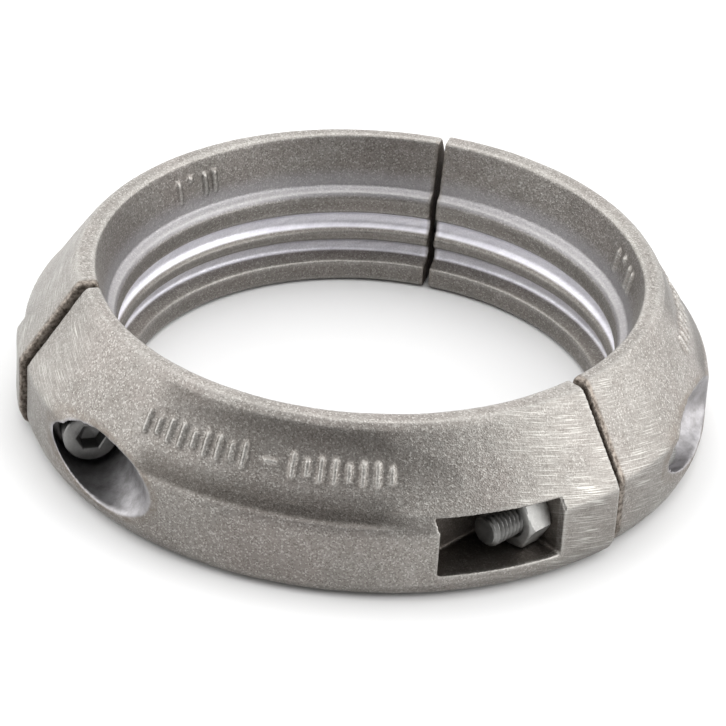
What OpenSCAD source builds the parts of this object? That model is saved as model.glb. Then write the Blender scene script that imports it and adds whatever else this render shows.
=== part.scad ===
// Three-piece clamp collar: three cast ring segments drawn together by
// three socket head cap screws, each pulling on a hex nut in a side pocket.
// Origin on the ring axis, level with the flat bottom face. +Z is up.
// The front segment is centred on -Y; joints lie at -30, 90 and 210 degrees.

/* [Ring] */
// Diameter of the lowest rib, the seat that grips the tube
bore_d = 115.5; // [115:0.1:116.4]
// Outside diameter over the flange, about the outside's own turning centre
outer_d = 167.6; // [167:0.1:168]
// Shift of that centre towards the nut end, which leaves the screw-head end slimmer
outside_shift = 0.85; // [0.6:0.05:1]
// Overall height
ring_h = 38.5; // [38:0.1:39]
// Height of the ridge between flange and sloping shoulder
ridge_h = 18.5; // [18:0.1:19]
// Gap between neighbouring segment ends as assembled
end_gap = 1.5; // [1:0.1:1.8]

/* [Inner ribs] */
// Inside diameter of the upper rib
upper_rib_d = 120.6; // [120:0.1:121.2]
// Inside diameter of the middle rib
middle_rib_d = 120.4; // [120:0.1:121.2]
// Inside diameter of the two groove floors
groove_d = 124.6; // [124:0.1:125]
// Inside diameter of the upper wall where it meets the upper rib
ledge_d = 125.8; // [125.2:0.1:126.4]
// Inside diameter at the lip
lip_inner_d = 131.4; // [131:0.1:132]
// Outside diameter at the lip
lip_outer_d = 141.6; // [141:0.1:142.4]

/* [Waist] */
// Flange diameter in the middle of a segment, where the casting is slimmer
waist_d = 166; // [165.6:0.1:166.8]
// Radius that rounds the ridge of the waist
waist_round = 9; // [8:0.5:10]
// Slope of the waist's shoulder from vertical
waist_slope = 32; // [31:0.5:33]
// How far the shoulder of the waist is hollowed
waist_hollow = 0.8; // [0.4:0.1:1.2]
// Angle from the middle of a segment to the middle of its waist
waist_turn = -2; // [-6:0.5:6]
// Shift of the waist's turning centre behind the ring axis, which makes it run out at both ends
waist_shift = 14; // [12:1:20]

/* [Screw joints] */
// Distance from the ring axis to each screw axis
screw_r = 71.9; // [71.6:0.1:72.2]
// Height of the screw axes
screw_h = 13.2; // [13:0.1:13.6]
// Thread diameter
screw_d = 8; // [8:1:8]
// Length under the head
screw_len = 50; // [48:1:50]
// Head diameter
head_d = 13; // [12.8:0.1:13.2]
// Head height
head_h = 8; // [7.8:0.1:8]
// Key size of the hexagon socket
socket_af = 6; // [5:1:6]
// Depth of the hexagon socket
socket_depth = 4.5; // [4:0.5:5]
// Clearance hole diameter in the segment ends
hole_d = 9; // [9:0.1:9.4]
// Distance from the joint plane to the head seat
head_seat = 18.1; // [17.8:0.1:18.4]
// Diameter of the counterbore that runs out through the flange
counterbore_d = 16.4; // [16:0.1:16.8]

/* [Nut pockets] */
// Width of the nut across its flats
nut_af = 13; // [13:0.1:13]
// Thickness of the nut
nut_h = 6.7; // [6.5:0.1:6.8]
// Distance from the joint plane to the nut seat
nut_seat = 17; // [16.8:0.1:17.4]
// Length of the pocket along the screw
pocket_len = 28; // [27:0.5:29]
// Height of the pocket
pocket_h = 14.6; // [14:0.1:14.8]
// Height of the pocket floor
pocket_floor = 6.2; // [6:0.1:6.4]
// Distance from the ring axis to the flat back wall of the pocket
pocket_back = 63.6; // [63.2:0.1:64]

/* [Hidden] */
$fn = 96;

segment_angle = 120;
front_middle = -90;
right_middle = 30;
left_middle = 150;
right_joint = -30;
back_joint = 90;
left_joint = 210;

bore_r = bore_d / 2;
outer_r = outer_d / 2;
groove_r = groove_d / 2;
lip_outer_r = lip_outer_d / 2;

// Heights of the inner profile, from the bottom face up
bore_top = 5.6;
low_groove_floor = [7.4, 9.6];
middle_rib = [10.8, 13];
high_groove_floor = [15, 17.4];
upper_rib = [18.9, 22.8];
ledge_h = 25.2;
edge_break = 0.8;
lip_break = 1.3;
lip_inner_break = 0.5;
flange_foot = [1.2, 4.2];
flange_toe = [3.4, 1.4];

// Waist outline: a rounded ridge, a sloping shoulder tangent to it, and a shallow hollow
waist_r = waist_d / 2;
waist_ridge_h = 15;
ridge_centre = [waist_r - waist_round, waist_ridge_h];
shoulder_foot = ridge_centre + waist_round * [cos(waist_slope), sin(waist_slope)];
shoulder_run = (ring_h - shoulder_foot[1]) / cos(waist_slope);
shoulder_top = shoulder_foot + shoulder_run * [-sin(waist_slope), cos(waist_slope)];
hollow_span = shoulder_run - 4;
hollow_r = (pow(hollow_span / 2, 2) + pow(waist_hollow, 2)) / (2 * waist_hollow);
hollow_middle = (shoulder_foot + shoulder_top) / 2;
hollow_centre = hollow_middle + (hollow_r - waist_hollow) * [cos(waist_slope), sin(waist_slope)];

// Clearances and cutting allowances
seat_play = 0.2;
thread_play = 0.05;
tip_chamfer = 1;
head_chamfer = 0.6;
washer_face = 0.4;
cut = 1;
past_ring = 60;
hex = 6;
across_corners = 2 / sqrt(3);

cast_colour = [0.62, 0.61, 0.58];
screw_colour = [0.55, 0.56, 0.56];
nut_colour = [0.60, 0.61, 0.60];

// Half section of the inside, running out past the outer surface
module inner_section() {
    polygon([
        [bore_r + edge_break, 0],
        [bore_r, edge_break],
        [bore_r, bore_top],
        [groove_r - 0.4, low_groove_floor[0] - 0.4],
        [groove_r, low_groove_floor[0]],
        [groove_r, low_groove_floor[1]],
        [middle_rib_d / 2, middle_rib[0]],
        [middle_rib_d / 2, middle_rib[1]],
        [groove_r - 0.4, high_groove_floor[0] - 0.4],
        [groove_r, high_groove_floor[0]],
        [groove_r, high_groove_floor[1]],
        [upper_rib_d / 2, upper_rib[0]],
        [upper_rib_d / 2, upper_rib[1]],
        [upper_rib_d / 2 + 0.8, ledge_h - 0.9],
        [ledge_d / 2, ledge_h],
        [lip_inner_d / 2, ring_h - lip_inner_break],
        [lip_inner_d / 2 + lip_inner_break, ring_h],
        [outer_r + 3 * cut, ring_h],
        [outer_r + 3 * cut, 0]
    ]);
}

// Half section of the outside, filled to the axis and running past both faces
module outer_section() {
    toe_slope = (flange_toe[0] - flange_foot[0]) / flange_toe[1];
    polygon([
        [0, -cut],
        [outer_r - flange_toe[0] - cut * toe_slope, -cut],
        [outer_r - flange_foot[0], flange_toe[1]],
        [outer_r, flange_foot[1]],
        [outer_r, ridge_h - 0.4],
        [outer_r - 0.8, ridge_h + 1],
        [lip_outer_r, ring_h - lip_break],
        [lip_outer_r - lip_break - cut, ring_h + cut],
        [0, ring_h + cut]
    ]);
}

// Puts a feature on a screw axis: X outward, Y along the screw from the joint plane
module on_joint(angle) {
    rotate([0, 0, angle]) translate([screw_r, 0, screw_h]) children();
}

// A bar lying along the screw from one distance to another
module bar(diameter, from, to) {
    translate([0, from, 0]) rotate([-90, 0, 0]) cylinder(d = diameter, h = to - from);
}

// Everything outside the waist outline, radius across and height up
module outside_waist() {
    difference() {
        translate([lip_outer_r - 4, waist_ridge_h - 12]) square([past_ring, ring_h]);
        translate([0, -cut]) square([waist_r, waist_ridge_h + cut]);
        translate(ridge_centre) circle(r = waist_round);
        polygon([[0, waist_ridge_h], ridge_centre, shoulder_foot, shoulder_top, [0, shoulder_top[1]]]);
    }
    translate(hollow_centre) circle(r = hollow_r);
}

// Cuts the slimmer waist, which fades out towards both ends
module waist() {
    rotate([0, 0, waist_turn]) translate([-waist_shift, 0, 0])
        rotate_extrude() translate([waist_shift, 0]) outside_waist();
}

// Hole and open-sided counterbore for the screw head, at the clockwise end
module head_bore() {
    on_joint(-segment_angle / 2) {
        bar(hole_d, -cut, head_seat + cut);
        bar(counterbore_d, head_seat, past_ring);
    }
}

// Hole and window pocket for the nut, at the anticlockwise end
module nut_pocket() {
    on_joint(segment_angle / 2) bar(hole_d, -nut_seat - cut, cut);
    rotate([0, 0, segment_angle / 2])
        translate([pocket_back, -nut_seat - pocket_len, pocket_floor])
            cube([outer_r - pocket_back + 2 * cut, pocket_len, pocket_h]);
}

// Half the joint gap, taken off each end as a flat face
module end_face(angle) {
    rotate([0, 0, angle]) translate([bore_r - cut, -end_gap / 2, -cut])
        cube([outer_r - bore_r + 2 * cut, end_gap, ring_h + 2 * cut]);
}

// One casting, centred on the +X axis
module segment() {
    difference() {
        intersection() {
            rotate([0, 0, -segment_angle / 2]) rotate_extrude(angle = segment_angle) inner_section();
            translate([0, outside_shift, 0]) rotate_extrude() outer_section();
        }
        end_face(segment_angle / 2);
        end_face(-segment_angle / 2);
        waist();
        head_bore();
        nut_pocket();
    }
}

// Socket head cap screw; the head lies anticlockwise of the joint plane
module cap_screw(angle) {
    under_head = head_seat + seat_play;
    tip = under_head - screw_len;
    head_top = under_head + head_h;
    color(screw_colour) on_joint(angle) difference() {
        union() {
            bar(screw_d, tip + tip_chamfer, under_head + cut);
            translate([0, tip, 0]) rotate([-90, 0, 0])
                cylinder(d1 = screw_d - 2 * tip_chamfer, d2 = screw_d, h = tip_chamfer);
            bar(head_d, under_head, head_top - head_chamfer);
            translate([0, head_top - head_chamfer, 0]) rotate([-90, 0, 0])
                cylinder(d1 = head_d, d2 = head_d - 2 * head_chamfer, h = head_chamfer);
        }
        translate([0, head_top - socket_depth, 0]) rotate([-90, 30, 0])
            cylinder(d = socket_af * across_corners, h = socket_depth + cut, $fn = hex);
    }
}

// Hex nut against the pocket's joint side, a corner pointing outward
module hex_nut(angle) {
    color(nut_colour) on_joint(angle) difference() {
        intersection() {
            translate([0, -nut_seat - nut_h, 0]) rotate([-90, 0, 0])
                cylinder(d = nut_af * across_corners, h = nut_h, $fn = hex);
            chamfered_disc();
        }
        bar(screw_d + 2 * thread_play, -nut_seat - nut_h - cut, -nut_seat + cut);
    }
}

// Round blank that takes the corners off a nut at both faces
module chamfered_disc() {
    corner_d = nut_af * across_corners + 0.2;
    rotate([-90, 0, 0]) translate([0, 0, -nut_seat - nut_h]) rotate_extrude()
        polygon([
            [0, 0],
            [nut_af / 2 - 0.1, 0],
            [corner_d / 2, washer_face * 2],
            [corner_d / 2, nut_h - washer_face * 2],
            [nut_af / 2 - 0.1, nut_h],
            [0, nut_h]
        ]);
}

module front_segment() { color(cast_colour) rotate([0, 0, front_middle]) segment(); }
module right_segment() { color(cast_colour) rotate([0, 0, right_middle]) segment(); }
module left_segment() { color(cast_colour) rotate([0, 0, left_middle]) segment(); }
module right_cap_screw() { cap_screw(right_joint); }
module back_cap_screw() { cap_screw(back_joint); }
module left_cap_screw() { cap_screw(left_joint); }
module right_hex_nut() { hex_nut(right_joint); }
module back_hex_nut() { hex_nut(back_joint); }
module left_hex_nut() { hex_nut(left_joint); }

front_segment();
right_segment();
left_segment();
right_cap_screw();
back_cap_screw();
left_cap_screw();
right_hex_nut();
back_hex_nut();
left_hex_nut();
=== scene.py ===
import math

import bmesh
import bpy
import numpy as np
from mathutils import Matrix, Vector, noise
from mathutils.bvhtree import BVHTree


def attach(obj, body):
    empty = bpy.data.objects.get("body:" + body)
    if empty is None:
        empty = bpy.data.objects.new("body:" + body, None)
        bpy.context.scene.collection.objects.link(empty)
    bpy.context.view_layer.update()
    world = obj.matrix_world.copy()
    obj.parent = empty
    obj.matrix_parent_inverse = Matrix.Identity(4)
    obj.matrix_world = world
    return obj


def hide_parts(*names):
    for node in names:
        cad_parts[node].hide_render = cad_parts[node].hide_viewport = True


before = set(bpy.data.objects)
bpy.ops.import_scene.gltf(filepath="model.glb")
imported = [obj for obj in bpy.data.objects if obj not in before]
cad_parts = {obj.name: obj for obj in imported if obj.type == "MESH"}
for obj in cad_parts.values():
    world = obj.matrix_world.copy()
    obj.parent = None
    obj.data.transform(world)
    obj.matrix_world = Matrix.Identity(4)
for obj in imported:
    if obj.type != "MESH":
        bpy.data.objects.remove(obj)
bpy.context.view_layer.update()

MM = 0.001
CAMERA_AZIMUTH = math.radians(14.4)
CAMERA_ELEVATION = math.radians(31.77)
CAMERA_ROLL = math.radians(3.56)
CAMERA_DISTANCE = 0.7998
CAMERA_LENS = 162.57
CAMERA_SHIFT = -0.0022
AIM_HEIGHT = 0.0105

# Middle angle of each segment and angle of each joint, in degrees
SEGMENTS = {"front_segment": -90.0, "right_segment": 30.0, "left_segment": 150.0}
JOINTS = {"right": -30.0, "back": 90.0, "left": 210.0}
HALF_SEGMENT = 60
SCREW_BODY = {"right": "right_cap_screw", "back": "back_cap_screw", "left": "left_cap_screw"}
NUT_BODY = {"right": "front_segment", "back": "right_segment", "left": "left_segment"}
# The end with a rounded and stained edge: -1 is clockwise, 1 anticlockwise, 0 neither
WORN_END = {"front_segment": 0, "right_segment": -1, "left_segment": 1}

# Sizes in millimetres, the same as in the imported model
BORE_R, UPPER_RIB_R, GROOVE_R, LIP_INNER_R = 57.75, 60.3, 62.3, 65.7
RIDGE_H, UPPER_RIB_TOP, RING_TOP = 18.5, 22.8, 38.5
SCREW_R, SCREW_H = 71.9, 13.2
UNDER_HEAD, SCREW_LEN = 18.3, 50.0
HEAD_D, HEAD_H, SOCKET_AF, SOCKET_DEPTH = 13.0, 8.0, 6.0, 4.5
HEAD_SEAT, COUNTERBORE_R = 18.1, 8.2
THREAD_D, PITCH, THREAD_LEN = 8.0, 1.25, 28.0
NUT_AF, NUT_H, NUT_SEAT = 13.0, 6.7, 17.0
POCKET_BACK, POCKET_LEN, POCKET_FLOOR, POCKET_H = 63.6, 28.0, 6.2, 14.6

# Heights in millimetres between which the groove floors are smooth, and of the rib between them
GROOVES = ((6.3, 10.5), (13.9, 18.3))
MIDDLE_RIB_H = 12

# Cast skin: voxel size, smoothing passes, and depths in millimetres
VOXEL = 0.38 * MM
SMOOTH_PASSES, EASE_PASSES, NEAR_PASSES, WIDE_PASSES = 2, 12, 3, 14
WAVE_DEPTH, GRAIN_DEPTH, FOOT_DEPTH = 0.10, 0.028, 0.45
DEEPEST, HIGHEST, MARGIN = -0.6, 0.09, 0.01
BRUSH_RADIUS, BRUSH_TILT = 0.076, 0.29

# Plain raised marks, in millimetres and degrees; a pip is a step round the wall, a height and a length
STROKE_H, STROKE_STEP, STROKE_WIDTH, STROKE_THICK = 28.4, 2.4, 1.2, 0.75
STROKE_LENGTHS = (6.2, 4.4, 6.2)
STROKE_GROUPS = ((-24.5, 9), (3.4, 8))
PIPS = ((-6.0, 31.3, 6.0), (-3.4, 31.3, 6.0), (0.6, 33.6, 1.7), (4.2, 31.3, 6.0))

CAST_DARK = (0.230, 0.216, 0.200)
CAST_PALE = (0.298, 0.282, 0.263)
CAST_BROWN = (0.212, 0.190, 0.172)
CAST_PINK = (0.255, 0.222, 0.207)
SPECK_PALE = (0.60, 0.585, 0.55)
SPECK_DARK = (0.100, 0.088, 0.077)
RIB_SHADE = (0.125, 0.112, 0.099)
BRUSHED_DARK = (0.145, 0.138, 0.125)
BRUSHED_PALE = (0.33, 0.32, 0.298)
SCRATCH_PALE = (0.64, 0.63, 0.59)
FLOOR_GREY = (0.78, 0.77, 0.83)
FLOOR_BRIGHT = (0.93, 0.92, 0.97)
LEDGE_GREY = (0.42, 0.415, 0.44)
POCKET_STAIN = (0.105, 0.088, 0.074)
HOLLOW_DARK = (0.24, 0.235, 0.245)
HOLLOW_PALE = (0.43, 0.425, 0.445)
RIM_STAIN = (0.17, 0.142, 0.118)
# Painted shade for the hollows and creases of the casting
CREASE_SHADE = (0.075, 0.062, 0.05)
# Painted shade for the sunk foot of the waist, the band under the lip and the flange
FOOT_SHADE = (0.062, 0.054, 0.047)
END_STAIN = (0.150, 0.122, 0.098)
STRIP_DARK = (0.085, 0.068, 0.055)
STRIP_PALE = (0.27, 0.235, 0.202)
EDGE_PALE = (0.60, 0.59, 0.56)
ZINC_DARK = (0.205, 0.202, 0.196)
ZINC_PALE = (0.365, 0.362, 0.35)
ZINC_GRAIN = (0.52, 0.52, 0.51)
STAGE_DARK = (0.76, 0.76, 0.76)
STAGE_PALE = (0.78, 0.78, 0.78)


# ---------------------------------------------------------------- mesh helpers

def new_object(name, mesh):
    obj = bpy.data.objects.new(name, mesh)
    bpy.context.scene.collection.objects.link(obj)
    return obj


def read_points(mesh):
    flat = np.empty(len(mesh.vertices) * 3, np.float32)
    mesh.vertices.foreach_get("co", flat)
    return flat.reshape(-1, 3).astype(float)


def write_points(mesh, points):
    mesh.vertices.foreach_set("co", points.astype(np.float32).ravel())
    mesh.update()


def read_normals(mesh):
    flat = np.empty(len(mesh.vertices) * 3, np.float32)
    mesh.vertex_normals.foreach_get("vector", flat)
    return flat.reshape(-1, 3).astype(float)


def read_edges(mesh):
    flat = np.empty(len(mesh.edges) * 2, np.int32)
    mesh.edges.foreach_get("vertices", flat)
    return flat.reshape(-1, 2)


def neighbour_mean(values, edges):
    """Mean of the neighbours' values at each vertex."""
    count = len(values)
    total = np.zeros_like(values)
    a, b = edges[:, 0], edges[:, 1]
    if values.ndim == 1:
        total += np.bincount(a, values[b], count)
        total += np.bincount(b, values[a], count)
    else:
        for axis in range(values.shape[1]):
            total[:, axis] += np.bincount(a, values[b, axis], count)
            total[:, axis] += np.bincount(b, values[a, axis], count)
    degree = np.bincount(a, minlength=count) + np.bincount(b, minlength=count)
    degree = np.maximum(degree, 1)
    return total / (degree if values.ndim == 1 else degree[:, None])


def add_attribute(mesh, name, values):
    kind = "FLOAT" if values.ndim == 1 else "FLOAT_VECTOR"
    field = mesh.attributes.new(name, kind, "POINT")
    key = "value" if values.ndim == 1 else "vector"
    field.data.foreach_set(key, values.astype(np.float32).ravel())


def smoothstep(low, high, x):
    """Eases from 0 at low to 1 at high; low may be the larger of the two."""
    t = np.clip((x - low) / (high - low), 0, 1)
    return t * t * (3 - 2 * t)


def join_rows(mesh, rows):
    """Quads between each row of vertices and the next, closed round the rows."""
    for lower, upper in zip(rows, rows[1:]):
        for i in range(len(lower)):
            j = (i + 1) % len(lower)
            mesh.faces.new((lower[i], lower[j], upper[j], upper[i]))


def grid_surface(rings):
    """A closed skin through rings of points, each ring the same length, with flat end caps."""
    mesh = bmesh.new()
    rows = [[mesh.verts.new(p) for p in ring] for ring in rings]
    join_rows(mesh, rows)
    mesh.faces.new(list(reversed(rows[0])))
    mesh.faces.new(rows[-1])
    bmesh.ops.recalc_face_normals(mesh, faces=mesh.faces)
    return mesh


def add_part(mesh, part):
    """Adds the part's faces to the mesh and frees the part."""
    data = bpy.data.meshes.new("part")
    part.to_mesh(data)
    part.free()
    mesh.from_mesh(data)
    bpy.data.meshes.remove(data)


def bmesh_object(name, mesh, sharp_degrees=None):
    data = bpy.data.meshes.new(name)
    mesh.to_mesh(data)
    mesh.free()
    for polygon in data.polygons:
        polygon.use_smooth = True
    if sharp_degrees is not None:
        data.set_sharp_from_angle(angle=math.radians(sharp_degrees))
    return new_object(name, data)


# ---------------------------------------------------------------- raised marks

def polar(angle, radius, height):
    a = math.radians(angle)
    return Vector((radius * math.cos(a), radius * math.sin(a), height)) * MM


def squared(value):
    """Bends a sine or cosine so that a circle becomes a rounded square."""
    return math.copysign(abs(value) ** 0.5, value)


def raised_block(mesh, skin, angle, height, outward, width, tall, thick):
    """Adds a plain raised block with rounded corners where a level ray meets the skin."""
    out = Vector((math.cos(math.radians(angle)), math.sin(math.radians(angle)), 0))
    start = polar(angle, 95 if outward else 20, height)
    spot, normal, _, _ = skin.ray_cast(start, -out if outward else out)
    side = Vector((0, 0, 1)).cross(normal).normalized()
    up = normal.cross(side).normalized()
    steps = 12
    rings = []
    for depth, grow in ((-1.2, 1.0), (0.1, 1.0), (thick * 0.8, 0.88), (thick, 0.66)):
        ring = []
        for i in range(steps):
            t = 2 * math.pi * i / steps
            x = squared(math.cos(t)) * width / 2 * grow
            y = squared(math.sin(t)) * (tall / 2 - width / 2 * (1 - grow))
            ring.append(spot + (side * x + up * y + normal * depth) * MM)
        rings.append(ring)
    add_part(mesh, grid_surface(rings))


def shoulder_marks(mesh, skin, middle):
    """Two groups of plain raised strokes along the waist, with a dash between them."""
    for start, count in STROKE_GROUPS:
        for i in range(count):
            angle = middle + start + STROKE_STEP * i
            tall = STROKE_LENGTHS[i % len(STROKE_LENGTHS)]
            raised_block(mesh, skin, angle, STROKE_H, True, STROKE_WIDTH, tall, STROKE_THICK)
    raised_block(mesh, skin, middle - 0.6, STROKE_H, True, 3.6, 1.3, 0.7)


def wall_marks(mesh, skin, middle):
    """Plain raised pips on the inner upper wall."""
    for step, height, tall in PIPS:
        raised_block(mesh, skin, middle + step, height, False, 1.6, tall, 0.7)


# ---------------------------------------------------------------- castings

def ring_place(points, middle):
    """Radius, signed angle from the middle, and distance from the nearer joint plane."""
    radius = np.hypot(points[:, 0], points[:, 1]) / MM
    turn = np.degrees(np.arctan2(points[:, 1], points[:, 0])) - middle
    turn = (turn + 180) % 360 - 180
    return radius, turn, radius * np.sin(np.radians(HALF_SEGMENT - np.abs(turn)))


def screw_place(points, middle):
    """Distance along and away from the axis of the screw at the clockwise end."""
    a = math.radians(middle - HALF_SEGMENT)
    level = points[:, 0] * math.cos(a) + points[:, 1] * math.sin(a)
    run = (points[:, 1] * math.cos(a) - points[:, 0] * math.sin(a)) / MM
    return run, np.hypot(level / MM - SCREW_R, points[:, 2] / MM - SCREW_H)


def pocket_walls(points, middle):
    """1 on the walls of the nut pocket at the anticlockwise end, 0 elsewhere."""
    a = math.radians(middle + HALF_SEGMENT)
    deep = (points[:, 0] * math.cos(a) + points[:, 1] * math.sin(a)) / MM
    back = (points[:, 0] * math.sin(a) - points[:, 1] * math.cos(a)) / MM
    height = points[:, 2] / MM
    slack, reach = 0.3, 17
    inside = (deep > POCKET_BACK - slack) & (deep < POCKET_BACK + reach)
    inside &= (back > NUT_SEAT - slack) & (back < NUT_SEAT + POCKET_LEN + slack)
    inside &= (height > POCKET_FLOOR - slack) & (height < POCKET_FLOOR + POCKET_H + slack)
    return inside.astype(float)


def remeshed_copy(node, middle):
    """The CAD segment with its raised marks, rebuilt as one even skin."""
    mesh = bmesh.new()
    mesh.from_mesh(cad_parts[node].data)
    bmesh.ops.remove_doubles(mesh, verts=mesh.verts, dist=2e-6)
    skin = BVHTree.FromBMesh(mesh)
    shoulder_marks(mesh, skin, middle)
    wall_marks(mesh, skin, middle)
    data = bpy.data.meshes.new("raw_" + node)
    mesh.to_mesh(data)
    mesh.free()
    raw = new_object("raw_" + node, data)
    remesh = raw.modifiers.new("remesh", "REMESH")
    remesh.mode = "VOXEL"
    remesh.voxel_size = VOXEL
    bpy.context.view_layer.update()
    final = bpy.data.meshes.new_from_object(raw.evaluated_get(bpy.context.evaluated_depsgraph_get()))
    bpy.data.objects.remove(raw)
    final.name = "cast_" + node
    for polygon in final.polygons:
        polygon.use_smooth = True
    return final


def eased(points, edges, middle, worn_end):
    """Smooths the skin a little everywhere, and more at the worn end and round the counterbore."""
    for step in range(SMOOTH_PASSES):
        points = points + 0.5 * (neighbour_mean(points, edges) - points)
    radius, turn, across = ring_place(points, middle)
    worn = smoothstep(2.4, 1.0, across) * smoothstep(62.5, 64.0, radius) * (turn * worn_end > 0)
    worn = np.maximum(worn, 0.25 * smoothstep(1.7, 1.0, across))
    run, from_screw = screw_place(points, middle)
    rim = smoothstep(COUNTERBORE_R + 1.8, COUNTERBORE_R + 1.0, from_screw)
    rim *= smoothstep(COUNTERBORE_R - 1.3, COUNTERBORE_R - 0.6, from_screw)
    rim *= smoothstep(HEAD_SEAT - 1.1, HEAD_SEAT + 0.4, run)
    amount = 0.6 * np.maximum(worn, rim)[:, None]
    for step in range(EASE_PASSES):
        points = points + amount * (neighbour_mean(points, edges) - points)
    return points


def bends(points, normals, edges):
    """How far each point stands proud of its surroundings, close by and further out."""
    near = np.einsum("ij,ij->i", points - neighbour_mean(points, edges), normals) / MM
    wide = near
    for step in range(NEAR_PASSES):
        near = 0.5 * near + 0.5 * neighbour_mean(near, edges)
    for step in range(WIDE_PASSES):
        wide = neighbour_mean(wide, edges)
    return near, wide


def inner_zones(radius, height, facing):
    """The groove floors, the faces of the ribs, and the ledge above them."""
    groove = np.zeros(len(radius))
    for low, high in GROOVES:
        level = smoothstep(low - 0.3, low + 0.3, height) * smoothstep(high + 0.3, high - 0.3, height)
        groove = np.maximum(groove, level)
    groove *= smoothstep(GROOVE_R - 1.5, GROOVE_R - 1.0, radius) * (radius < GROOVE_R + 1.7)
    groove *= smoothstep(-0.3, -0.6, facing)
    rib = smoothstep(UPPER_RIB_R + 1.0, UPPER_RIB_R + 0.4, radius) * (height < UPPER_RIB_TOP + 0.2)
    rib *= np.where(np.abs(height - MIDDLE_RIB_H) < 2.2, 1.0, 0.6)
    ledge = smoothstep(LIP_INNER_R + 0.5, LIP_INNER_R - 0.1, radius)
    ledge *= smoothstep(UPPER_RIB_TOP + 0.1, UPPER_RIB_TOP + 1.0, height) * smoothstep(31.0, 26.0, height)
    return {"groove": groove, "rib": rib, "ledge": ledge}


def outer_zones(radius, height, turn, facing):
    """The brushed lugs, and the waist with its sunk foot and its shaded parts."""
    outer = smoothstep(66.5, 68.5, radius) * smoothstep(0.1, 0.3, facing)
    nut_lug = smoothstep(34.0, 46.0, turn + 4 * np.sin(height * 0.4))
    head_lug = 0.8 * smoothstep(41.0, 51.0, -turn)
    waist = smoothstep(-27.0, -20.0, turn) * smoothstep(24.0, 17.0, turn) * outer
    sunk = waist * smoothstep(RIDGE_H - 0.3, RIDGE_H + 1.3, height) * smoothstep(25.5, 21.0, height)
    under_lip = waist * smoothstep(29.0, 35.5, height)
    under_lip *= smoothstep(RING_TOP - 1.1, RING_TOP - 1.7, height)
    flange = waist * smoothstep(RIDGE_H - 0.1, RIDGE_H - 1.1, height)
    # foot is painted shade: the sunk foot, most of the band under the lip, and a little of the flange
    return {"linish": outer * np.where(turn > 0, nut_lug, head_lug), "waist": waist, "sunk": sunk,
            "foot": np.maximum(sunk, 0.70 * under_lip + 0.18 * flange)}


def end_zones(points, normals, middle, worn_end, facing):
    """The end faces and their stained edges, the nut pocket, and the counterbore with its rim."""
    radius, turn, across = ring_place(points, middle)
    run, from_screw = screw_place(points, middle)
    past_seat = smoothstep(HEAD_SEAT - 1.1, HEAD_SEAT + 0.4, run)
    trough = smoothstep(COUNTERBORE_R + 0.7, COUNTERBORE_R + 0.2, from_screw) * past_seat
    mouth = smoothstep(COUNTERBORE_R + 2.4, COUNTERBORE_R + 1.0, from_screw) * past_seat
    end = smoothstep(2.2, 0.9, across) * smoothstep(0.75, 0.35, np.hypot(facing, normals[:, 2]))
    strip = smoothstep(3.1, 2.2, across) * smoothstep(62.0, 66.0, radius) * (turn * worn_end > 0)
    strip = np.maximum(strip, 0.6 * smoothstep(2.0, 1.1, across) * (radius < LIP_INNER_R + 0.8))
    return {"trough": trough, "mouth": mouth, "rim": mouth * (1 - trough), "end": end, "strip": strip,
            "pocket": pocket_walls(points, middle)}


def cast_zones(points, normals, middle, worn_end):
    """How strongly each point belongs to each zone of the casting, from 0 to 1."""
    radius, turn, _ = ring_place(points, middle)
    height = points[:, 2] / MM
    facing = np.einsum("ij,ij->i", normals[:, :2], points[:, :2]) / np.maximum(radius * MM, 1e-9)
    zones = inner_zones(radius, height, facing)
    zones.update(outer_zones(radius, height, turn, facing))
    zones.update(end_zones(points, normals, middle, worn_end, facing))
    return zones


def cast_noise(points, seed):
    """Gentle waviness of a sand-cast skin, and the finer grain on top."""
    offset = Vector((seed * 3.7, seed * 1.9, seed * 5.3))
    wave, grain = np.empty(len(points)), np.empty(len(points))
    for i, p in enumerate(points):
        v = Vector(p)
        wave[i] = noise.noise(v * 95 + offset)
        grain[i] = noise.noise(v * 900 + offset) + 0.7 * noise.noise(v * 1700 + offset)
    return wave, grain


def roughened(points, normals, zones, seed):
    """Sinks the foot of the waist and adds waves and grain, less where the casting is smooth."""
    wave, grain = cast_noise(points, seed)
    wave *= (1 - 0.8 * zones["groove"]) * (1 - zones["end"])
    grain *= (1 - zones["groove"]) * (1 - 0.5 * zones["linish"]) * (1 - 0.7 * zones["trough"])
    shift = WAVE_DEPTH * wave + GRAIN_DEPTH * grain - FOOT_DEPTH * zones["sunk"]
    radius = np.hypot(points[:, 0], points[:, 1]) / MM
    keep = smoothstep(BORE_R - 0.15, BORE_R + 0.85, radius)
    moved = points + normals * (np.clip(shift, DEEPEST, HIGHEST) * keep * MM)[:, None]
    moved[:, 2] = np.clip(moved[:, 2], MARGIN * MM, (RING_TOP - MARGIN) * MM)
    return moved


def skin_values(points, normals, edges, zones, middle):
    """The named values that the cast material reads at each point."""
    near, wide = bends(points, normals, edges)
    radius, turn, _ = ring_place(points, middle)
    height = points[:, 2] / MM
    unworn_waist = 1 - 0.7 * zones["waist"] * (height < 24)
    values = {
        "wear": np.clip(near * 26, 0, 1) * (1 - zones["mouth"]) * (1 - zones["strip"]) * unworn_waist,
        # Painted shade: 1 where the skin bends inward over a wide area
        "crease_shade": np.clip(-wide * 30 * (1 - zones["ledge"]), 0, 1),
    }
    for name in ("ledge", "foot", "end", "rib", "strip", "pocket", "rim", "groove", "trough", "linish"):
        values[name] = zones[name]
    arc = np.radians(turn) * BRUSH_RADIUS
    climb = (height - 0.5 * radius) * MM + BRUSH_TILT * arc
    values["along"] = np.stack([arc, radius * 0, climb], 1)
    return values


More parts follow.
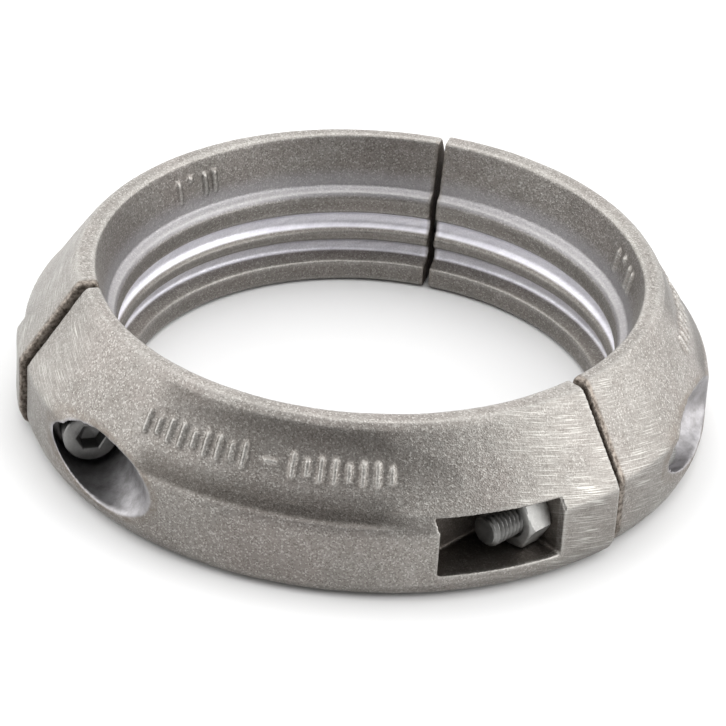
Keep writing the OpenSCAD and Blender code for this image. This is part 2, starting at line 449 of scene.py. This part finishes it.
def cast_piece(node, middle, seed):
    """The rounded, slightly uneven casting that stands for one plain CAD segment."""
    mesh = remeshed_copy(node, middle)
    edges = read_edges(mesh)
    points = eased(read_points(mesh), edges, middle, WORN_END[node])
    write_points(mesh, points)
    normals = read_normals(mesh)
    zones = cast_zones(points, normals, middle, WORN_END[node])
    write_points(mesh, roughened(points, normals, zones, seed))
    for name, values in skin_values(points, normals, edges, zones, middle).items():
        add_attribute(mesh, name, values)
    piece = new_object("cast_" + node, mesh)
    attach(piece, node)
    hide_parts(node)
    return piece


# ---------------------------------------------------------------- fasteners

def joint_place(angle):
    """X outward, Y along the screw from the joint plane, in metres."""
    a = math.radians(angle)
    return Matrix.Translation(polar(angle, SCREW_R, SCREW_H)) @ Matrix.Rotation(a, 4, "Z")


def lathe_ring(radius_at, y, steps):
    """A ring round the Y axis whose radius depends on the angle, in millimetres."""
    ring = []
    for i in range(steps):
        t = 2 * math.pi * i / steps
        r = radius_at(t)
        ring.append(Vector((r * math.cos(t), y, r * math.sin(t))) * MM)
    return ring


def plain(radius):
    return lambda t: radius


def hex_radius(af, t):
    """Radius of a hexagon at an angle, with a corner at angle zero."""
    s = t % (math.pi / 3) - math.pi / 6
    return af / 2 / math.cos(s)


def thread_radius(t, y, start, tip):
    """Outer radius of a right-hand thread that runs from start down to the tip."""
    wave = ((y - t / (2 * math.pi) * PITCH) / PITCH) % 1.0
    tooth = abs(2 * wave - 1)
    tooth = min(max((tooth - 0.1) / 0.72, 0), 1)
    depth = 0.68 * tooth
    fade = min(max((start - y) / 2.0, 0), 1)
    r = THREAD_D / 2 - 0.03 - depth * fade
    return min(r, THREAD_D / 2 - 1.0 + (y - tip) * 1.0)


def threaded_shank():
    """Threaded part and plain part, from the tip to just inside the head."""
    tip = UNDER_HEAD - SCREW_LEN
    start = tip + THREAD_LEN
    steps = 40
    rings = []
    y = tip
    while y < start + 1:
        rings.append(lathe_ring(lambda t: thread_radius(t, y, start, tip), y, steps))
        y += PITCH / 10
    rings.append(lathe_ring(plain(THREAD_D / 2 - 0.03), UNDER_HEAD + 0.3, steps))
    return grid_surface(rings)


def knurled_head():
    """Head with eased edges, a knurled side and a hexagon socket."""
    top = UNDER_HEAD + HEAD_H
    steps, flutes = 240, 60

    def knurl(depth):
        return lambda t: HEAD_D / 2 - 0.05 - depth * (0.5 + 0.5 * math.cos(t * flutes))

    def socket(af):
        return lambda t: hex_radius(af, t)

    profile = [(plain(HEAD_D / 2 - 0.9), UNDER_HEAD),
               (knurl(0.0), UNDER_HEAD + 0.3),
               (knurl(0.0), UNDER_HEAD + 0.8),
               (knurl(0.26), UNDER_HEAD + 1.1),
               (knurl(0.26), top - 1.1),
               (knurl(0.0), top - 0.75),
               (plain(HEAD_D / 2 - 0.22), top - 0.35),
               (plain(HEAD_D / 2 - 0.7), top),
               (plain(SOCKET_AF / 2 + 0.95), top),
               (socket(SOCKET_AF + 0.5), top - 0.02),
               (socket(SOCKET_AF), top - 0.3),
               (socket(SOCKET_AF), top - SOCKET_DEPTH),
               (plain(1.2), top - SOCKET_DEPTH - 0.9)]
    return grid_surface([lathe_ring(radius_at, y, steps) for radius_at, y in profile])


def cap_screw_piece(side):
    """Socket head cap screw with a rolled thread and a knurled head."""
    mesh = knurled_head()
    add_part(mesh, threaded_shank())
    mesh.transform(joint_place(JOINTS[side]))
    piece = bmesh_object("turned_" + SCREW_BODY[side], mesh, 40)
    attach(piece, SCREW_BODY[side])
    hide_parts(SCREW_BODY[side])
    return piece


def hex_nut_piece(side):
    """Hex nut with chamfered faces and a countersunk bore."""
    back, front = -NUT_SEAT - NUT_H, -NUT_SEAT
    corner = NUT_AF / math.sqrt(3)
    bore, countersink = 4.06, 4.55
    steps = 120
    # How far below a face, and the radius that the chamfer leaves there
    chamfer = ((0, 6.2), (0.08, 6.42), (0.35, 6.82), (0.62, 7.18), (0.9, corner))

    def trimmed(limit):
        return lambda t: min(hex_radius(NUT_AF, t) - 0.02, limit)

    profile = [(trimmed(limit), back + inset) for inset, limit in chamfer]
    profile.append((trimmed(corner), back + NUT_H / 2))
    profile += [(trimmed(limit), front - inset) for inset, limit in reversed(chamfer)]
    profile += [(plain(countersink), front), (plain(bore), front - 0.5),
                (plain(bore), back + 0.5), (plain(countersink), back)]
    mesh = bmesh.new()
    rows = [[mesh.verts.new(p) for p in lathe_ring(radius_at, y, steps)] for radius_at, y in profile]
    join_rows(mesh, rows + rows[:1])
    bmesh.ops.recalc_face_normals(mesh, faces=mesh.faces)
    mesh.transform(joint_place(JOINTS[side]))
    piece = bmesh_object("milled_" + side + "_hex_nut", mesh, 22)
    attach(piece, NUT_BODY[side])
    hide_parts(side + "_hex_nut")
    return piece


# ---------------------------------------------------------------- materials

class Nodes:
    """A small helper that makes and joins shader nodes."""

    def __init__(self, name):
        self.material = bpy.data.materials.new(name)
        self.material.use_nodes = True
        self.tree = self.material.node_tree
        self.shader = self.tree.nodes["Principled BSDF"]

    def add(self, kind, **settings):
        node = self.tree.nodes.new(kind)
        for key, value in settings.items():
            setattr(node, key, value)
        return node

    def join(self, source, target):
        self.tree.links.new(source, target)

    def value(self, name):
        return self.add("ShaderNodeAttribute", attribute_name=name).outputs["Fac"]

    def vector(self, name):
        return self.add("ShaderNodeAttribute", attribute_name=name).outputs["Vector"]

    def position(self):
        return self.add("ShaderNodeTexCoord").outputs["Object"]

    def math(self, operation, a, b, clamp=False):
        node = self.add("ShaderNodeMath", operation=operation, use_clamp=clamp)
        for socket, item in zip(node.inputs, (a, b)):
            if isinstance(item, (int, float)):
                socket.default_value = item
            else:
                self.join(item, socket)
        return node.outputs[0]

    def times(self, a, b):
        return self.math("MULTIPLY", a, b)

    def stretch(self, vector, scale):
        node = self.add("ShaderNodeMapping")
        node.inputs["Scale"].default_value = scale
        self.join(vector, node.inputs["Vector"])
        return node.outputs[0]

    def noise(self, vector, scale, detail, rough):
        node = self.add("ShaderNodeTexNoise")
        node.inputs["Scale"].default_value = scale
        node.inputs["Detail"].default_value = detail
        node.inputs["Roughness"].default_value = rough
        self.join(vector, node.inputs["Vector"])
        return node.outputs["Fac"]

    def cells(self, vector, scale):
        node = self.add("ShaderNodeTexVoronoi")
        node.inputs["Scale"].default_value = scale
        self.join(vector, node.inputs["Vector"])
        return node.outputs["Color"], node.outputs["Distance"]

    def remap(self, value, low, high, to_low=0.0, to_high=1.0):
        node = self.add("ShaderNodeMapRange", clamp=True)
        for key, number in (("From Min", low), ("From Max", high), ("To Min", to_low), ("To Max", to_high)):
            node.inputs[key].default_value = number
        self.join(value, node.inputs["Value"])
        return node.outputs["Result"]

    def mix(self, factor, a, b):
        node = self.add("ShaderNodeMix", data_type="RGBA")
        self.join(factor, node.inputs["Factor"])
        for socket, item in ((node.inputs[6], a), (node.inputs[7], b)):
            if isinstance(item, tuple):
                socket.default_value = (*item, 1)
            else:
                self.join(item, socket)
        return node.outputs[2]

    def bump(self, height, distance, strength, before=None):
        node = self.add("ShaderNodeBump")
        node.inputs["Distance"].default_value = distance
        if isinstance(strength, (int, float)):
            node.inputs["Strength"].default_value = strength
        else:
            self.join(strength, node.inputs["Strength"])
        self.join(height, node.inputs["Height"])
        if before is not None:
            self.join(before, node.inputs["Normal"])
        return node.outputs[0]


def cast_patterns(n):
    """The zones and patterns that the cast colour, roughness and bumps share."""
    place, along = n.position(), n.vector("along")
    p = {name: n.value(name) for name in ("end", "groove", "trough")}
    streaky = n.remap(n.noise(place, 85, 2.0, 0.5), 0.36, 0.60, 0.15, 1.0)
    p["linish"] = n.times(n.value("linish"), streaky)
    clean = n.math("MAXIMUM", n.times(p["groove"], 0.9), n.times(p["trough"], 0.6))
    unbrushed = n.math("SUBTRACT", 1.0, n.times(p["linish"], 0.4))
    p["skin"] = n.times(n.math("SUBTRACT", 1.0, clean), unbrushed)
    p["patch"] = n.noise(place, 330, 3.0, 0.6)
    p["grain"] = n.noise(place, 2300, 3.0, 0.7)
    p["speck"], p["facet"] = n.cells(place, 3000)
    p["lines"] = n.noise(n.stretch(along, (150, 3300, 3300)), 1.0, 2.0, 0.6)
    p["edge"] = n.times(n.value("wear"), n.remap(p["grain"], 0.35, 0.62, 0.25, 1.0))
    return p


def mottled_colour(n, p):
    """Blotched grey with pale and dark specks, darker on the ribs."""
    place = n.position()
    colour = n.mix(n.remap(n.noise(place, 70, 3.0, 0.55), 0.35, 0.65), CAST_DARK, CAST_PALE)
    colour = n.mix(n.remap(p["patch"], 0.35, 0.7, 0, 0.5), colour, CAST_BROWN)
    colour = n.mix(n.remap(n.noise(place, 42, 2.0, 0.5), 0.46, 0.64, 0, 0.4), colour, CAST_PINK)
    speck = n.add("ShaderNodeSeparateColor")
    n.join(p["speck"], speck.inputs[0])
    for channel, amount, tint in ((0, 0.46, SPECK_PALE), (1, 0.55, SPECK_DARK)):
        strength = n.times(n.remap(speck.outputs[channel], 0.62, 0.95), p["skin"])
        colour = n.mix(n.times(strength, amount), colour, tint)
    return n.mix(n.times(n.value("rib"), 0.52), colour, RIB_SHADE)


def brushed_colour(n, p, colour):
    """Fine lines and single pale scratches on the linished lugs."""
    brushed = n.mix(n.remap(p["lines"], 0.38, 0.62), BRUSHED_DARK, BRUSHED_PALE)
    colour = n.mix(n.times(p["linish"], 0.5), colour, brushed)
    scratch = n.noise(n.stretch(n.vector("along"), (120, 4000, 4000)), 1.0, 1.0, 0.5)
    scratch = n.times(n.remap(scratch, 0.57, 0.66), p["linish"])
    return n.mix(n.times(scratch, 0.7), colour, SCRATCH_PALE)


def hollow_colour(n, p, colour):
    """Bright groove floors, the ledge, the nut pocket, and the counterbore with its rim."""
    patch = p["patch"]
    streak = n.noise(n.stretch(n.vector("along"), (90, 700, 700)), 1.0, 3.0, 0.6)
    colour = n.mix(p["groove"], colour, n.mix(n.remap(streak, 0.35, 0.7), FLOOR_GREY, FLOOR_BRIGHT))
    colour = n.mix(n.times(n.value("ledge"), 0.55), colour, LEDGE_GREY)
    stained = n.times(n.value("pocket"), n.remap(patch, 0.35, 0.65, 0.75, 0.4))
    colour = n.mix(stained, colour, POCKET_STAIN)
    hollow = n.mix(n.remap(patch, 0.35, 0.65), HOLLOW_DARK, HOLLOW_PALE)
    colour = n.mix(n.times(p["trough"], 0.75), colour, hollow)
    stained = n.times(n.value("rim"), n.remap(patch, 0.35, 0.6, 0.75, 0.1))
    return n.mix(stained, colour, RIM_STAIN)


def worn_and_shaded_colour(n, p, colour):
    """Painted shade in the creases and along the foot of the waist, stained ends and edges, and pale worn
    edges on top.
    """
    patch, grain = p["patch"], p["grain"]
    # Painted shade, darker where the skin is hollow
    colour = n.mix(n.times(n.value("crease_shade"), n.remap(grain, 0.3, 0.6, 0.4, 0.75)), colour, CREASE_SHADE)
    # Painted shade along the foot of the waist and under the lip
    colour = n.mix(n.times(n.value("foot"), n.remap(grain, 0.3, 0.65, 0.95, 0.55)), colour, FOOT_SHADE)
    colour = n.mix(n.times(p["end"], n.remap(patch, 0.3, 0.75, 0.8, 0.4)), colour, END_STAIN)
    stain = n.remap(n.noise(n.position(), 850, 3.0, 0.65), 0.40, 0.60)
    colour = n.mix(n.times(n.value("strip"), 0.9), colour, n.mix(stain, STRIP_DARK, STRIP_PALE))
    return n.mix(n.times(p["edge"], 0.6), colour, EDGE_PALE)


def cast_roughness(n, p):
    rough = n.remap(p["grain"], 0.3, 0.7, 0.36, 0.54)
    rough = n.math("SUBTRACT", rough, n.times(p["linish"], 0.08))
    rough = n.math("ADD", rough, n.times(p["groove"], 0.08))
    rough = n.math("ADD", rough, n.times(p["end"], 0.25))
    return n.math("SUBTRACT", rough, n.times(p["edge"], 0.08), clamp=True)


def cast_bumps(n, p):
    """Coarse and fine grain with small facets, and brushed lines on the lugs."""
    coarse = n.bump(p["patch"], 0.10 * MM, n.times(p["skin"], 0.8))
    fine = n.bump(p["grain"], 0.085 * MM, p["skin"], coarse)
    facets = n.bump(p["facet"], 0.045 * MM, n.times(p["skin"], 0.8), fine)
    return n.bump(p["lines"], 0.016 * MM, n.times(p["linish"], 0.9), facets)


def cast_material():
    """Shot-blasted cast aluminium, linished near the joints, cleaner in the groove floors."""
    n = Nodes("cast_aluminium")
    p = cast_patterns(n)
    colour = brushed_colour(n, p, mottled_colour(n, p))
    colour = worn_and_shaded_colour(n, p, hollow_colour(n, p, colour))
    n.join(colour, n.shader.inputs["Base Color"])
    n.join(cast_roughness(n, p), n.shader.inputs["Roughness"])
    n.shader.inputs["Metallic"].default_value = 1.0
    n.join(cast_bumps(n, p), n.shader.inputs["Normal"])
    return n.material


def zinc_material(name, pale):
    """Dull zinc plate with a little dirt."""
    n = Nodes(name)
    place = n.position()
    cloud = n.noise(place, 260, 4.0, 0.6)
    grain = n.noise(place, 2400, 3.0, 0.65)
    low, high, bright = (tuple(c * pale for c in tint) for tint in (ZINC_DARK, ZINC_PALE, ZINC_GRAIN))
    colour = n.mix(n.remap(cloud, 0.32, 0.68), low, high)
    colour = n.mix(n.remap(grain, 0.55, 0.75, 0, 0.4), colour, bright)
    n.join(colour, n.shader.inputs["Base Color"])
    n.join(n.remap(cloud, 0.3, 0.7, 0.36, 0.58), n.shader.inputs["Roughness"])
    n.shader.inputs["Metallic"].default_value = 1.0
    soft = n.bump(cloud, 0.05 * MM, 0.6)
    n.join(n.bump(grain, 0.03 * MM, 0.7, soft), n.shader.inputs["Normal"])
    return n.material


def floor_material():
    n = Nodes("pale_floor")
    tone = n.noise(n.position(), 6, 2.0, 0.5)
    n.join(n.mix(tone, STAGE_DARK, STAGE_PALE), n.shader.inputs["Base Color"])
    n.shader.inputs["Roughness"].default_value = 0.9
    n.shader.inputs["Specular IOR Level"].default_value = 0.1
    return n.material


# ---------------------------------------------------------------- studio

def outward(azimuth, elevation):
    """Unit direction away from the ring; azimuth 0 is in front and grows to the right."""
    flat = math.cos(elevation)
    return Vector((math.sin(azimuth) * flat, -math.cos(azimuth) * flat, math.sin(elevation)))


def make_camera():
    """Looks at the ring axis with a slight roll."""
    data = bpy.data.cameras.new("camera")
    data.lens = CAMERA_LENS
    data.shift_x = CAMERA_SHIFT
    data.clip_start, data.clip_end = 0.05, 20
    camera = bpy.data.objects.new("camera", data)
    aim = Vector((0, 0, AIM_HEIGHT))
    towards = outward(CAMERA_AZIMUTH, CAMERA_ELEVATION)
    level = (-towards).to_track_quat("-Z", "Y").to_matrix().to_4x4()
    camera.matrix_world = (Matrix.Translation(aim + towards * CAMERA_DISTANCE) @ level
                           @ Matrix.Rotation(CAMERA_ROLL, 4, "Z"))
    bpy.context.scene.collection.objects.link(camera)
    bpy.context.scene.camera = camera


def soft_box(name, azimuth, elevation, distance, size, watts):
    """A square area lamp aimed at the middle of the ring."""
    data = bpy.data.lights.new(name, "AREA")
    data.shape = "SQUARE"
    data.size = size
    data.energy = watts
    lamp = bpy.data.objects.new(name, data)
    towards = outward(math.radians(azimuth), math.radians(elevation))
    lamp.location = towards * distance
    lamp.rotation_euler = (-towards).to_track_quat("-Z", "Y").to_euler()
    bpy.context.scene.collection.objects.link(lamp)


def make_floor():
    """A round floor just under the ring, wide enough for every view."""
    mesh = bmesh.new()
    steps = 48
    rings = []
    for radius in (0.05, 0.3, 1.2, 4.0):
        angles = [2 * math.pi * i / steps for i in range(steps)]
        rings.append([mesh.verts.new((radius * math.cos(t), radius * math.sin(t), 0)) for t in angles])
    mesh.faces.new(rings[0])
    for inner, outer in zip(rings, rings[1:]):
        for i in range(steps):
            j = (i + 1) % steps
            mesh.faces.new((inner[i], outer[i], outer[j], inner[j]))
    floor = bmesh_object("floor", mesh)
    floor.location.z = -0.0003
    floor.data.materials.append(floor_material())


def make_world():
    """White surround, brighter at the flanks and most on the right, darker low in front."""
    world = bpy.data.worlds.new("surround")
    world.use_nodes = True
    tree = world.node_tree
    back = tree.nodes["Background"]
    split = tree.nodes.new("ShaderNodeSeparateXYZ")
    tree.links.new(tree.nodes.new("ShaderNodeTexCoord").outputs["Generated"], split.inputs[0])
    x, y, z = split.outputs

    def math_node(operation, a, b=0.0):
        node = tree.nodes.new("ShaderNodeMath")
        node.operation = operation
        for socket, item in zip(node.inputs, (a, b)):
            if isinstance(item, (int, float)):
                socket.default_value = item
            else:
                tree.links.new(item, socket)
        return node.outputs[0]

    def ramp(value, low, high):
        node = tree.nodes.new("ShaderNodeMapRange")
        node.interpolation_type = "SMOOTHSTEP"
        node.inputs["From Min"].default_value = low
        node.inputs["From Max"].default_value = high
        tree.links.new(value, node.inputs["Value"])
        return node.outputs["Result"]

    def level_share(x_share, y_share):
        return math_node("ADD", math_node("MULTIPLY", x, x_share), math_node("MULTIPLY", y, y_share))

    front = level_share(math.sin(CAMERA_AZIMUTH), -math.cos(CAMERA_AZIMUTH))
    side = level_share(math.cos(CAMERA_AZIMUTH), math.sin(CAMERA_AZIMUTH))
    low = math_node("SUBTRACT", 1.0, ramp(z, 0.58, 0.90))
    shade = math_node("MULTIPLY", ramp(front, 0.25, 0.68), low)
    flank = ramp(math_node("ABSOLUTE", side), 0.40, 0.90)
    right = ramp(side, 0.60, 1.0)
    even = math_node("ADD", 1.70, math_node("MULTIPLY", flank, 0.75))
    even = math_node("ADD", even, math_node("MULTIPLY", right, 0.35))
    strength = math_node("SUBTRACT", even, math_node("MULTIPLY", shade, 1.50))
    tree.links.new(strength, back.inputs["Strength"])
    back.inputs["Color"].default_value = (1, 1, 1, 1)
    bpy.context.scene.world = world


def finish_look():
    view = bpy.context.scene.view_settings
    view.view_transform = "Standard"
    view.look = "None"
    view.exposure = 0.0


# ---------------------------------------------------------------- assembly

cast = cast_material()
screw_zinc = zinc_material("zinc_screw", 0.72)
nut_zinc = zinc_material("zinc_nut", 1.4)
for number, (node, middle) in enumerate(SEGMENTS.items()):
    cast_piece(node, middle, number + 1).data.materials.append(cast)
for side in JOINTS:
    cap_screw_piece(side).data.materials.append(screw_zinc)
    hex_nut_piece(side).data.materials.append(nut_zinc)

make_camera()
make_floor()
make_world()
soft_box("top", 200, 60, 1.2, 0.7, 2.0)
soft_box("right", 80, 35, 1.0, 0.5, 1.0)
finish_look()
